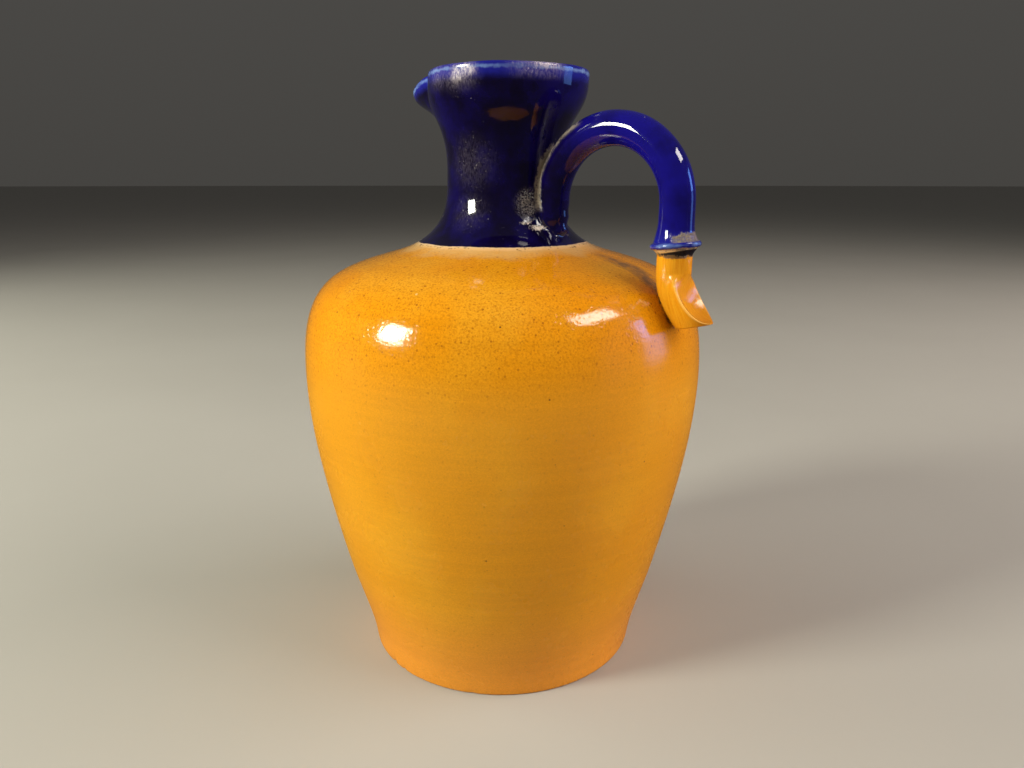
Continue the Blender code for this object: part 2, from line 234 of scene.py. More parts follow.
ROOT_PATCH = ((18.2, -8.2, 158.5), 6.2, 0.5)
NEAR_PALE_PATCH = ((21.8, -8.2, 151.2), 5.2, 0, (1.0, 1.0, 2.8))
FAR_PALE_PATCH = ((18.9, -11.0, 152.7), 4.2, 0, (1.0, 1.0, 4.0))
COLLAR_LEDGE = ((72.2, -2.2, 150.0), 7.0, 5.4)
COLLAR_RECESS = ((71.5, -3.0, 145.8), 9.5, 7.5)
# Dark smear on the shoulder under the handle: dirt, and painted shade from the handle
HIGH_SMEAR_AND_SHADE = ((46, 5.5, 139.6), 8.5, 3, (0.5, 1.25, 0.8))
LOW_SMEAR_AND_SHADE = ((56, 3, 135.6), 6.5, 2, (0.62, 1.15, 0.8))

# Colours of the ochre glaze, the dark glaze with its wear, and the dirt, with the painted highlight, sheen,
# shade and shadow among them, as linear red, green and blue
OCHRE = (0.605, 0.251, 0.008)
SHOULDER_OCHRE = (0.622, 0.228, 0.002)
PALE_OCHRE = (0.64, 0.285, 0.012)
FOOT_OCHRE = (0.72, 0.264, 0.034)
STRAP_OCHRE = (0.64, 0.285, 0.014)
STRAP_STREAK = (0.56, 0.195, 0.005)
STRAP_TIP = (0.52, 0.15, 0.003)
# Painted highlight along the strap's two ridges
STRAP_RIDGE_HIGHLIGHT = (0.86, 0.56, 0.18)
MOTTLE = (0.4, 0.125, 0.003)
FINE_SPECK = (0.26, 0.075, 0.004)
BROWN_SPECK = (0.215, 0.052, 0.004)
IRON_SPECK = (0.07, 0.024, 0.008)
PALE_SPECK = (0.85, 0.6, 0.28)
WIDE_TAN = (0.56, 0.335, 0.125)
TAN_BAND = (0.72, 0.48, 0.235)
TAN_PIT = (0.11, 0.045, 0.012)
TAN_LINE = (0.62, 0.45, 0.3)
DARK_CLAY = (0.34, 0.21, 0.12)
PALE_CLAY = (0.46, 0.31, 0.19)
THICK_COBALT = (0.0022, 0.0009, 0.013)
COBALT = (0.0036, 0.0015, 0.05)
# Painted sheen: a brighter blue on the handle's side of the jug, standing for light and window reflection on
# the handle
HANDLE_SHEEN_COBALT = (0.0055, 0.0035, 0.16)
THIN_COBALT = (0.009, 0.01, 0.185)
PALE_COBALT = (0.13, 0.21, 0.46)
DUST = (0.45, 0.42, 0.45)
HAZE = (0.52, 0.44, 0.56)
SCUFF = (0.7, 0.6, 0.6)
FLECK = (0.6, 0.55, 0.56)
SCRATCH = (0.62, 0.58, 0.6)
# Dirt and painted shade in the joints between the handle and the body
JOINT_DIRT_AND_SHADE = (0.03, 0.018, 0.01)
ROOT_BAND = (0.285, 0.23, 0.17)
ROOT_BEIGE = (0.27, 0.225, 0.17)
SLEEVE_BEIGE = (0.25, 0.205, 0.155)
PALE_PATCH_CREAM = (0.85, 0.78, 0.66)
PALE_PATCH_TAN = (0.58, 0.47, 0.42)
LEDGE_BROWN = (0.205, 0.16, 0.12)
# Near black under the collar: painted shadow in the recess, with some dirt
RECESS_SHADOW_AND_DIRT = (0.007, 0.003, 0.002)
# Dark brown of the smear under the handle: dirt, and painted shade from the handle
SMEAR_AND_SHADE_BROWN = (0.085, 0.043, 0.022)

# Studio: the ground, the background, and the colours of the lamps and the point that they look at
GROUND_RADIUS = 30.0
GROUND_SEGMENTS = 96
GROUND_COLOURS = ((0.335, 0.322, 0.298), (0.365, 0.352, 0.328))
BACKGROUND_BELOW = (0.060, 0.057, 0.052, 1.0)
BACKGROUND_ABOVE = (0.100, 0.097, 0.092, 1.0)
LEFT_LIGHT = (1.0, 1.0, 0.84)
WINDOW_BLUE = (0.16, 0.36, 1.0)
LAMP_TARGET = Vector((0.0, 0.0, 0.11))

# Camera of the photograph: turned round the jug, moved back and up, tipped down; its lens for a 36 mm film
CAMERA_TURN = math.radians(38)
CAMERA_PLACE = Vector((0.00372, -0.26897, 0.16551))
CAMERA_DIP = math.radians(14.78)
CAMERA_LENS = 27.035
FILM_WIDTH = 36.0


def direction(angle):
    """A step of length 1 at an angle from level."""
    return np.array([math.cos(angle), math.sin(angle)])


def span(start, start_angle, end, end_angle, pulls, steps=160):
    """Points of one smooth span between two points of a profile, both ends included."""
    start, end = np.array(start), np.array(end)
    chord = np.linalg.norm(end - start)
    lower = start + direction(start_angle) * chord * pulls[0]
    upper = end - direction(end_angle) * chord * pulls[1]
    t = np.linspace(0, 1, steps + 1)[:, None]
    rise = 1 - t
    return rise ** 3 * start + 3 * rise ** 2 * t * lower + 3 * rise * t ** 2 * upper + t ** 3 * end


def ease(value):
    """Smooth step from 0 to 1."""
    value = np.clip(value, 0.0, 1.0)
    return value * value * (3 - 2 * value)


def resample(points, spacing):
    """The same line with its points at the spacing that each stretch asks for."""
    lengths = np.linalg.norm(np.diff(points, axis=0), axis=1)
    middles = (points[1:] + points[:-1]) / 2
    count = np.concatenate([[0], np.cumsum(lengths / spacing(middles))])
    at = np.linspace(0, count[-1], int(math.ceil(count[-1])) + 1)
    return np.column_stack([np.interp(at, count, points[:, k]) for k in (0, 1)])


def outer_profile():
    """Outside of the jug as radius and height, from the foot up to the widest part of the cup."""
    upright = math.radians(90)
    inwards = math.radians(180) - SHOULDER_SLOPE
    foot, hip = (FOOT_RADIUS, 0.0), (HIP_RADIUS, HIP_HEIGHT)
    belly, shoulder = (BELLY_RADIUS, BELLY_HEIGHT), (SHOULDER_RADIUS, SHOULDER_HEIGHT)
    waist, cup = (WAIST_RADIUS, WAIST_HEIGHT), (CUP_RADIUS, CUP_HEIGHT)
    spans = [
        span(foot, FOOT_SLOPE, hip, HIP_SLOPE, FOOT_PULL),
        span(hip, HIP_SLOPE, belly, upright, BODY_PULL)[1:],
        span(belly, upright, shoulder, inwards, SHOULDER_PULL)[1:],
        span(shoulder, inwards, waist, upright, FLARE_PULL)[1:],
        span(waist, upright, cup, upright, CUP_PULL)[1:],
    ]
    return np.vstack(spans)


def inner_profile(outer):
    """Inside of the wall, from the mouth down to the corner of the floor."""
    along = np.gradient(outer, axis=0)
    along /= np.linalg.norm(along, axis=1)[:, None]
    share = np.clip((outer[:, 1] - WAIST_HEIGHT) / (CUP_HEIGHT - WAIST_HEIGHT), 0, 1)
    wall = WALL + (MOUTH_WALL - WALL) * share
    inside = outer + np.column_stack([-along[:, 1], along[:, 0]]) * wall[:, None]
    corner_top = FLOOR + FLOOR_CORNER
    inside = inside[inside[:, 1] > corner_top][::-1]
    turn = np.linspace(0, math.radians(90), CORNER_STEPS + 1)
    corner = np.column_stack([np.cos(turn) - 1, -np.sin(turn)]) * FLOOR_CORNER
    return inside, corner + [inside[-1, 0], corner_top]


def body_spacing(points):
    """Spacing along the outside: finer on the shoulder, neck and mouth, where the glazes meet."""
    return np.where(points[:, 1] < UPPER_START, BODY_SPACING, UPPER_SPACING)


def inner_spacing(points):
    """Spacing along the inside: finer in the mouth, which can be looked into."""
    return np.where(points[:, 1] < WAIST_HEIGHT, INNER_SPACING, INNER_SPACING / 2)


def full_profile():
    """The cut through the wall without its two ends on the axis, and three values for each of its points.

    Edge distance is how far the point is from the crest of the lip, and bare is 1 under the foot."""
    outer = outer_profile()
    inside, corner = inner_profile(outer)
    turn = np.linspace(-math.radians(90), 0, FOOT_STEPS + 1)
    foot = np.column_stack([np.cos(turn) - 1, np.sin(turn) + 1]) * FOOT_ROUND + [FOOT_RADIUS, 0]
    across_foot = np.linspace(0, foot[0, 0], UNDER_STEPS + 1)[1:-1]
    under = np.column_stack([across_foot, np.zeros_like(across_foot)])
    wall = resample(outer[outer[:, 1] > FOOT_ROUND * 1.5], body_spacing)
    middle, half = (wall[-1, 0] + inside[0, 0]) / 2, (wall[-1, 0] - inside[0, 0]) / 2
    turn = np.linspace(0, math.pi, LIP_STEPS + 1)
    power = 2 / LIP_SQUARENESS
    across = np.sign(np.cos(turn)) * np.abs(np.cos(turn)) ** power
    lip = np.column_stack([middle + half * across, np.abs(np.sin(turn)) ** power * LIP_HEIGHT])
    lip[:, 1] += RIM_HEIGHT - LIP_HEIGHT
    inner = resample(inside, inner_spacing)
    across_floor = np.arange(corner[-1, 0] - FLOOR_SPACING, FLOOR_SPACING / 2, -FLOOR_SPACING)
    floor = np.column_stack([across_floor, np.full_like(across_floor, FLOOR)])
    pieces = [under, foot, wall, lip, inner, corner[1:], floor]
    points = np.vstack(pieces)
    count = np.cumsum([len(p) for p in pieces])
    row = np.arange(len(points))
    walked = np.concatenate([[0], np.cumsum(np.linalg.norm(np.diff(points, axis=0), axis=1))])
    line = np.interp(GLAZE_LINE, points[count[1]:count[2], 1], walked[count[1]:count[2]])
    crest = walked[count[2]]
    cobalt = np.where(row < count[3], walked - line, points[:, 1] - INNER_GLAZE_LINE) / MM
    bare = np.where(row < count[0] + 1, 1.0, 0.0)
    return points, {"cobalt": cobalt, "edge_distance": np.abs(walked - crest) / MM, "bare": bare}


def turn_angles():
    """Angles round the jug, closer together where the handle and the lip need a finer mesh."""
    angle = np.linspace(-math.pi, math.pi, 7201)
    spacing = np.full_like(angle, TURN_SPACING)
    for middle, width, fine in np.radians(FINE_TURNS):
        away = np.abs((angle - middle + math.pi) % (2 * math.pi) - math.pi)
        spacing = np.minimum(spacing, TURN_SPACING - (TURN_SPACING - fine) * np.exp(-(away / width) ** 2))
    count = np.concatenate([[0], np.cumsum(np.diff(angle) / ((spacing[1:] + spacing[:-1]) / 2))])
    at = np.linspace(0, count[-1], int(count[-1]) + 1)
    return np.interp(at, count, angle)[:-1]


def centre_shift(height):
    """How far the jug's centre lies towards the handle at a height."""
    body = np.clip(height / BELLY_HEIGHT, 0.0, 1.0)
    mouth = np.clip((height - WAIST_HEIGHT) / (RIM_HEIGHT - WAIST_HEIGHT), 0.0, 1.0)
    return BODY_SHIFT * body + MOUTH_SHIFT * mouth


def pull_spout(radius, height, angle):
    """Where the points of the turned wall go when the jug's centre drifts and its lip is pulled."""
    off_lip = np.abs((angle + 2 * math.pi) % (2 * math.pi) - math.pi)
    rise = ease((height - SPOUT_START) / (RIM_HEIGHT - SPOUT_START))
    inside = np.minimum(off_lip / SPOUT_HALF_ANGLE, 1.0)
    crest = (0.5 + 0.5 * np.cos(math.pi * inside)) ** SPOUT_SHARPNESS
    pinch = np.exp(-((off_lip - SPOUT_PINCH_ANGLE) / SPOUT_PINCH_WIDTH) ** 2)
    crease = np.exp(-((off_lip - SPOUT_CREASE_ANGLE) / SPOUT_CREASE_WIDTH) ** 2)
    reach = radius + rise * (SPOUT_REACH * crest - SPOUT_PINCH * pinch - SPOUT_CREASE * crease)
    x = centre_shift(height) + reach * np.cos(angle)
    return np.stack([x, reach * np.sin(angle), height - SPOUT_DIP * crest * rise * rise], axis=-1)


def soft_noise(points, scale, seed=0.0):
    """Smooth noise from 0 to 1 at each point, with features of about 1 / scale metres."""
    flat = points.reshape(-1, 3) * scale + seed
    values = np.array([noise.noise(Vector(p)) for p in flat])
    return np.clip(0.5 + 0.6 * values, 0, 1).reshape(points.shape[:-1])


def foot_nicks(radius, height, angle):
    """How much the nicks in the foot's edge take off its radius."""
    low = np.clip(1 - height / NICK_HEIGHT, 0, 1) * (radius > FOOT_RADIUS - FOOT_ROUND * 2)
    taken = np.zeros_like(radius)
    for middle, width, depth in FOOT_NICKS:
        away = (angle - math.radians(middle) + math.pi) % (2 * math.pi) - math.pi
        nick = np.clip(1 - (away / math.radians(width)) ** 2, 0, 1)
        taken = np.maximum(taken, depth * low * nick)
    return taken


class Skin:
    """A closed surface of rings, with a value of each kind at each of its points: 0 where none is given."""

    def __init__(self, name, rings, first, last, values):
        rows, columns = rings.shape[:2]
        self.name = name
        self.points = np.vstack([rings.reshape(-1, 3), first, last])
        self.values = {}
        for key in KINDS:
            grid = np.broadcast_to(np.asarray(values.get(key, 0.0), float), (rows, columns))
            self.values[key] = np.concatenate([grid.ravel(), [grid[0].mean(), grid[-1].mean()]])
        index = np.arange(rows * columns).reshape(rows, columns)
        along, beside = index[:-1], np.roll(index, -1, axis=1)
        quads = np.stack([along, beside[:-1], beside[1:], index[1:]], axis=-1).reshape(-1, 4)
        start = [(rows * columns, b, a) for a, b in zip(index[0], beside[0])]
        end = [(a, b, rows * columns + 1) for a, b in zip(index[-1], beside[-1])]
        self.faces = quads.tolist() + start + end

    def mesh(self):
        """The surface as a mesh."""
        mesh = bpy.data.meshes.new(self.name)
        mesh.from_pydata(self.points.tolist(), [], self.faces)
        return mesh

    def mesh_object(self):
        """The surface as an object of its own, with its faces turned outwards."""
        mesh = self.mesh()
        shape = bmesh.new()
        shape.from_mesh(mesh)
        bmesh.ops.recalc_face_normals(shape, faces=shape.faces)
        shape.to_mesh(mesh)
        shape.free()
        made = bpy.data.objects.new(self.name, mesh)
        bpy.context.scene.collection.objects.link(made)
        return made

    def tree(self):
        """The surface as a tree that finds its point nearest to another."""
        return BVHTree.FromPolygons(self.points.tolist(), self.faces)

    def swell(self, other_tree):
        """Builds the surface up near another one, as glaze does where it gathers in a joint."""
        mesh = self.mesh()
        normals = np.array([v.normal for v in mesh.vertices])
        bpy.data.meshes.remove(mesh)
        for i, point in enumerate(self.points):
            distance = other_tree.find_nearest(Vector(point), FILLET)[3]
            if distance is not None:
                self.points[i] += normals[i] * FILLET / 4 * (1 - distance / FILLET) ** 2


def body_skin():
    """The thrown body, neck and mouth: rings from the underside up the outside and down the inside."""
    profile, values = full_profile()
    angles = turn_angles()
    radius = np.repeat(profile[:, :1], len(angles), axis=1)
    height = np.repeat(profile[:, 1:], len(angles), axis=1)
    angle = np.repeat(angles[None, :], len(profile), axis=0)
    radius = radius - foot_nicks(radius, height, angle)
    rings = pull_spout(radius, height, angle)
    uneven = soft_noise(rings * [1, 1, 1.6], 24) * WALL_UNEVEN
    uneven *= np.clip(radius / SHOULDER_RADIUS, 0.0, 1.0)
    outward = np.stack([np.cos(angle), np.sin(angle), np.zeros_like(angle)], axis=-1)
    rings = rings - outward * uneven[..., None]
    near_rim = ease((height - CUP_HEIGHT) / (RIM_HEIGHT - CUP_HEIGHT))
    rings[..., 2] -= near_rim * RIM_UNEVEN * soft_noise(outward, 1.7, 4.0)
    wavy = (soft_noise(outward, 2.3, 9.0) - 0.5) * GLAZE_LINE_WAVE
    values = {key: np.repeat(value[:, None], len(angles), axis=1) for key, value in values.items()}
    values["cobalt"] = values["cobalt"] + wavy
    floor_centre = (float(centre_shift(FLOOR)), 0.0, FLOOR)
    return Skin("body_skin", rings, (0.0, 0.0, 0.0), floor_centre, values)


def strap_lines(steps):
    """Back line and ridge line of the strap, in the handle's plane, measured from the leg's axis."""
    down = -math.radians(90)
    back_start = np.array([-STRAP_RADIUS, STRAP_BEND_HEIGHT])
    back_end = np.array([STRAP_END_SWEEP - STRAP_RADIUS, STRAP_END_HEIGHT])
    ridge_start = np.array([STRAP_RADIUS * math.cos(SCOOP_ANGLE), STRAP_BEND_HEIGHT])
    ridge_end = back_end + [STRAP_END_THICKNESS, STRAP_TIP_RISE]
    back = span(back_start, down, back_end, -STRAP_END_SLOPE, STRAP_BACK_PULL, steps)
    ridge = span(ridge_start, down, ridge_end, -STRAP_TIP_SLOPE, STRAP_RIDGE_PULL, steps)
    return back, ridge


def surface_at(outer, height):
    """Where the outside of the body lies on the handle's side at a height."""
    return np.interp(height, outer[:, 1], outer[:, 0]) + centre_shift(height)


def leg_distance(outer):
    """Distance of the handle's outer leg from the axis: the strap's back is pressed onto the shoulder."""
    back = strap_lines(200)[0][::-1]
    touch = np.interp(STRAP_TOUCH_HEIGHT, back[:, 1], back[:, 0])
    return float(surface_at(outer, STRAP_TOUCH_HEIGHT) - STRAP_PRESS - touch)


def bow_skin(outer, leg):
    """The tube of the handle and its collar: up the neck, over the bow, down to the collar's underside."""
    height = np.linspace(ROOT_END_HEIGHT, SPRING_HEIGHT, ROOT_STEPS + 1)[:-1]
    share = (height - ROOT_END_HEIGHT) / (SPRING_HEIGHT - ROOT_END_HEIGHT)
    proud = -ROOT_SUNK + (ROOT_PROUD + ROOT_SUNK) * share ** ROOT_CURVE
    root_radius = TUBE_TIP_RADIUS + (TUBE_RADIUS - TUBE_TIP_RADIUS) * ease(share / ROOT_FULL_SHARE)
    root = np.column_stack([surface_at(outer, height) + proud, height])
    spring = float(surface_at(outer, SPRING_HEIGHT) + ROOT_PROUD)
    middle, reach = (spring + leg) / 2, (leg - spring) / 2
    turn = np.linspace(math.pi, 0, int(math.pi * reach / BOW_SPACING))
    bow = np.column_stack([middle + reach * np.cos(turn), SPRING_HEIGHT + reach * np.sin(turn)])
    flare_top = COLLAR_HEIGHT + COLLAR_FLARE
    drop = np.arange(SPRING_HEIGHT - BOW_SPACING, flare_top, -BOW_SPACING)
    straight = np.column_stack([np.full_like(drop, leg), drop])
    centres = np.vstack([root, bow, straight])
    radii = np.concatenate([root_radius, np.full(len(bow) + len(straight), TUBE_RADIUS)])
    along = np.gradient(centres, axis=0)
    along /= np.linalg.norm(along, axis=1)[:, None]
    collar_radii, collar_drops = collar_outline()
    tilt = COLLAR_TILT * ease(1 - np.clip(-collar_drops / COLLAR_FLARE, 0, 1))
    collar_along = np.column_stack([np.sin(tilt), -np.cos(tilt)])
    foot = np.array([leg, COLLAR_HEIGHT])
    centres = np.vstack([centres, foot + collar_along * collar_drops[:, None]])
    along = np.vstack([along, collar_along])
    radii = np.concatenate([radii, collar_radii])
    turn = np.linspace(0, 2 * math.pi, RING_STEPS, endpoint=False)
    side = np.column_stack([along[:, 1], -along[:, 0]])
    flat = centres[:, None] + side[:, None] * (radii[:, None] * np.cos(turn))[..., None]
    rings = np.stack([flat[..., 0], radii[:, None] * np.sin(turn), flat[..., 1]], axis=-1)
    pulled = (soft_noise(rings, 90, 3.0) - 0.5) * TUBE_UNEVEN
    axis_points = np.stack([centres[:, 0], np.zeros(len(centres)), centres[:, 1]], axis=-1)[:, None]
    outward = rings - axis_points
    outward /= np.linalg.norm(outward, axis=2)[..., None]
    rings = rings + outward * pulled[..., None]
    on_tube = np.full(len(radii) - len(collar_drops), ABOVE_COLLAR * MM)
    drops = np.concatenate([on_tube, collar_drops])
    from_edge = np.abs(drops - COLLAR_EDGE / 2)
    values = {
        "cobalt": ((COLLAR_EDGE * COLLAR_GLAZED - drops) / MM)[:, None],
        "edge_distance": (from_edge * COLLAR_EDGE_THINNING / MM + COLLAR_EDGE_THIN)[:, None],
    }
    first, last = axis_points[0, 0], axis_points[-1, 0]
    return Skin("bow_skin", rings, first, last, values)


def collar_outline():
    """Radius of the collar against how far it is below the collar's upper edge, from the flare down."""
    half = COLLAR_EDGE / 2
    rise = np.linspace(1, 0, FLARE_STEPS + 1)
    flare = TUBE_RADIUS + (COLLAR_RADIUS - half - TUBE_RADIUS) * (1 - rise) ** COLLAR_FLARE_CURVE
    turn = np.linspace(math.radians(90), math.radians(-90), EDGE_STEPS + 1)[1:]
    edge = COLLAR_RADIUS - half + half * np.cos(turn)
    under = np.linspace(0, 1, UNDERCUT_STEPS + 1)[1:]
    under_radius = COLLAR_RADIUS - half + (STRAP_RADIUS - COLLAR_LAP - COLLAR_RADIUS + half) * under
    radii = np.concatenate([flare, edge, under_radius])
    edge_drops, under_drops = half - half * np.sin(turn), COLLAR_EDGE + COLLAR_UNDERCUT * under
    return radii, np.concatenate([-COLLAR_FLARE * rise, edge_drops, under_drops])


def strap_section(back, ridge, half_width, depth):
    """One section of the strap: a round back, sides that run out to two ridges, and the face between them."""
    length = np.linalg.norm(ridge - back)
    across = (ridge - back) / length
    spread = half_width / (STRAP_RADIUS * math.sin(SCOOP_ANGLE)) - 1
    turn = np.linspace(SCOOP_ANGLE, 2 * math.pi - SCOOP_ANGLE, STRAP_BACK_STEPS + 1)
    out = np.cos(turn)
    share = np.clip(out / math.cos(SCOOP_ANGLE), 0, 1)
    reach = np.where(out > 0, STRAP_RADIUS + (length - STRAP_RADIUS) * share, STRAP_RADIUS * (1 + out))
    side = STRAP_RADIUS * np.sin(turn) * (1 + spread * share ** 2)
    face = np.linspace(-1, 1, STRAP_SCOOP_STEPS + 1)[1:-1]
    reach = np.concatenate([reach, length - depth * (1 - face * face)])
    side = np.concatenate([side, half_width * face])
    flat = back + across * reach[:, None]
    section = np.column_stack([flat[:, 0], side, flat[:, 1]])
    for _ in range(STRAP_ROUNDINGS):
        following = np.roll(section, -1, axis=0)
        cut = [section * 0.75 + following * 0.25, section * 0.25 + following * 0.75]
        section = np.stack(cut, axis=1).reshape(-1, 3)
    return section


def strap_skin(leg):
    """The strap below the collar: a rod that becomes a thumb-pressed scoop with a turned-out tip."""
    back, ridge = strap_lines(STRAP_ROWS)
    start_width = STRAP_RADIUS * math.sin(SCOOP_ANGLE)
    bulge = STRAP_RADIUS * (1 - math.cos(SCOOP_ANGLE))
    rings = []
    top = COLLAR_HEIGHT - COLLAR_EDGE * STRAP_SEAT - STRAP_BEND_HEIGHT
    for rise in np.linspace(top, 0, STRAP_TOP_ROWS + 1)[:-1]:
        rings.append(strap_section(back[0] + [0, rise], ridge[0] + [0, rise], start_width, -bulge))
    for i in range(STRAP_ROWS + 1):
        share = i / STRAP_ROWS
        opening = ease(share / SCOOP_WIDEST)
        closing = max((share - SCOOP_WIDEST) / (1 - SCOOP_WIDEST), 0.0) ** SCOOP_CLOSING
        half_width = start_width + (SCOOP_HALF_WIDTH - start_width) * opening
        half_width += (SCOOP_TIP_HALF_WIDTH - SCOOP_HALF_WIDTH) * closing
        depth = -bulge + (SCOOP_DEPTH + bulge) * ease(share / SCOOP_DEEPEST)
        if depth > 0:
            depth *= min(half_width / SCOOP_HALF_WIDTH, 1.0)
        rings.append(strap_section(back[i], ridge[i], half_width, depth))
    rings = np.array(rings)
    centre = rings[-1].mean(axis=0)
    onward = np.array([math.cos(STRAP_END_SLOPE), 0.0, -math.sin(STRAP_END_SLOPE)]) * STRAP_END_ROUND
    rounding = ((0.93, 0.8), (0.75, 1.0), (0.4, 1.0))
    end = [centre + (rings[-1] - centre) * size + onward * step for size, step in rounding]
    rings = np.concatenate([rings, end]) + [leg, 0, 0]
    share = np.clip((np.arange(len(rings)) - STRAP_TOP_ROWS) / STRAP_ROWS, 0, 1)
    rings = rings - onward * (share ** 3)[:, None, None]
    middle = rings.mean(axis=1)
    along = np.concatenate([[0], np.cumsum(np.linalg.norm(np.diff(middle, axis=0), axis=1))]) / MM
    steps = np.linalg.norm(np.diff(rings, axis=1), axis=2)
    around = np.concatenate([np.zeros((len(rings), 1)), np.cumsum(steps, axis=1)], axis=1) / MM
    ridge_points = np.array([0, STRAP_BACK_STEPS]) * 2 ** STRAP_ROUNDINGS
    from_ridge = np.linalg.norm(rings[:, :, None] - rings[:, None, ridge_points], axis=3).min(axis=2) / MM
    values = {"cobalt": -6.0, "edge_distance": from_ridge, "strap": 1.0, "along": along[:, None], "around": around}
    return Skin("strap_skin", rings, rings[0].mean(axis=0), rings[-1].mean(axis=0), values)


def union(base, added):
    """Fuses one object into another and removes the one that was added."""
    joint = base.modifiers.new("join", "BOOLEAN")
    joint.operation = "UNION"
    joint.solver = "MANIFOLD"
    joint.object = added
    evaluated = base.evaluated_get(bpy.context.evaluated_depsgraph_get())
    mesh = bpy.data.meshes.new_from_object(evaluated)
    base.modifiers.clear()
    base.data = mesh
    bpy.data.objects.remove(added)


def make_jug():
    """The whole jug as one closed mesh, with the values that its glazes are laid out by."""
    outer = outer_profile()
    leg = leg_distance(outer)
    body, bow, strap = body_skin(), bow_skin(outer, leg), strap_skin(leg)
    trees = [skin.tree() for skin in (body, bow, strap)]
    body.swell(trees[1])
    body.swell(trees[2])
    bow.swell(trees[0])
    strap.swell(trees[0])
    skins = (body, bow, strap)
    jug = body.mesh_object()
    handle = bow.mesh_object()
    union(handle, strap.mesh_object())
    union(jug, handle)
    jug.name = "stoneware_jug"
    jug.data.name = "stoneware_jug"
    lay_out_values(jug.data, skins)
    smooth_joints(jug.data, trees)
    jug.data.shade_smooth()
    return jug


def lay_out_values(mesh, skins):
    """Gives each point of the joined mesh the values of the nearest point of the surfaces it came from."""
    points = np.vstack([skin.points for skin in skins])
    tree = KDTree(len(points))
    for i, point in enumerate(points):
        tree.insert(point, i)
    tree.balance()
    nearest = np.array([tree.find(v.co)[1] for v in mesh.vertices])
    for key in KINDS:
        source = np.concatenate([skin.values[key] for skin in skins])
        attribute = mesh.attributes.new(key, "FLOAT", "POINT")
        attribute.data.foreach_set("value", source[nearest].astype(np.float32))


def smooth_joints(mesh, trees):
    """Rounds the glaze over in the joints, and records how far each point is from a joint."""
    joint = np.empty(len(mesh.vertices))
    for i, vertex in enumerate(mesh.vertices):
        distances = []
        for tree in trees:
            distance = tree.find_nearest(vertex.co, JOINT_REACH)[3]
            distances.append(JOINT_REACH if distance is None else distance)
        joint[i] = sorted(distances)[1]
    attribute = mesh.attributes.new("joint", "FLOAT", "POINT")
    attribute.data.foreach_set("value", (joint / MM).astype(np.float32))
    shape = bmesh.new()
    shape.from_mesh(mesh)
    shape.verts.ensure_lookup_table()
    close = [shape.verts[i] for i in np.flatnonzero(joint < FILLET / 2)]
    for _ in range(FILLET_SMOOTHING):
        bmesh.ops.smooth_vert(
            shape, verts=close, factor=0.5, use_axis_x=True, use_axis_y=True, use_axis_z=True
        )
    shape.to_mesh(mesh)
    shape.free()


def opaque(colour):
    """A colour as a socket takes it: a plain one gets a fourth value."""
    return colour if isinstance(colour, bpy.types.NodeSocket) else (*colour, 1.0)


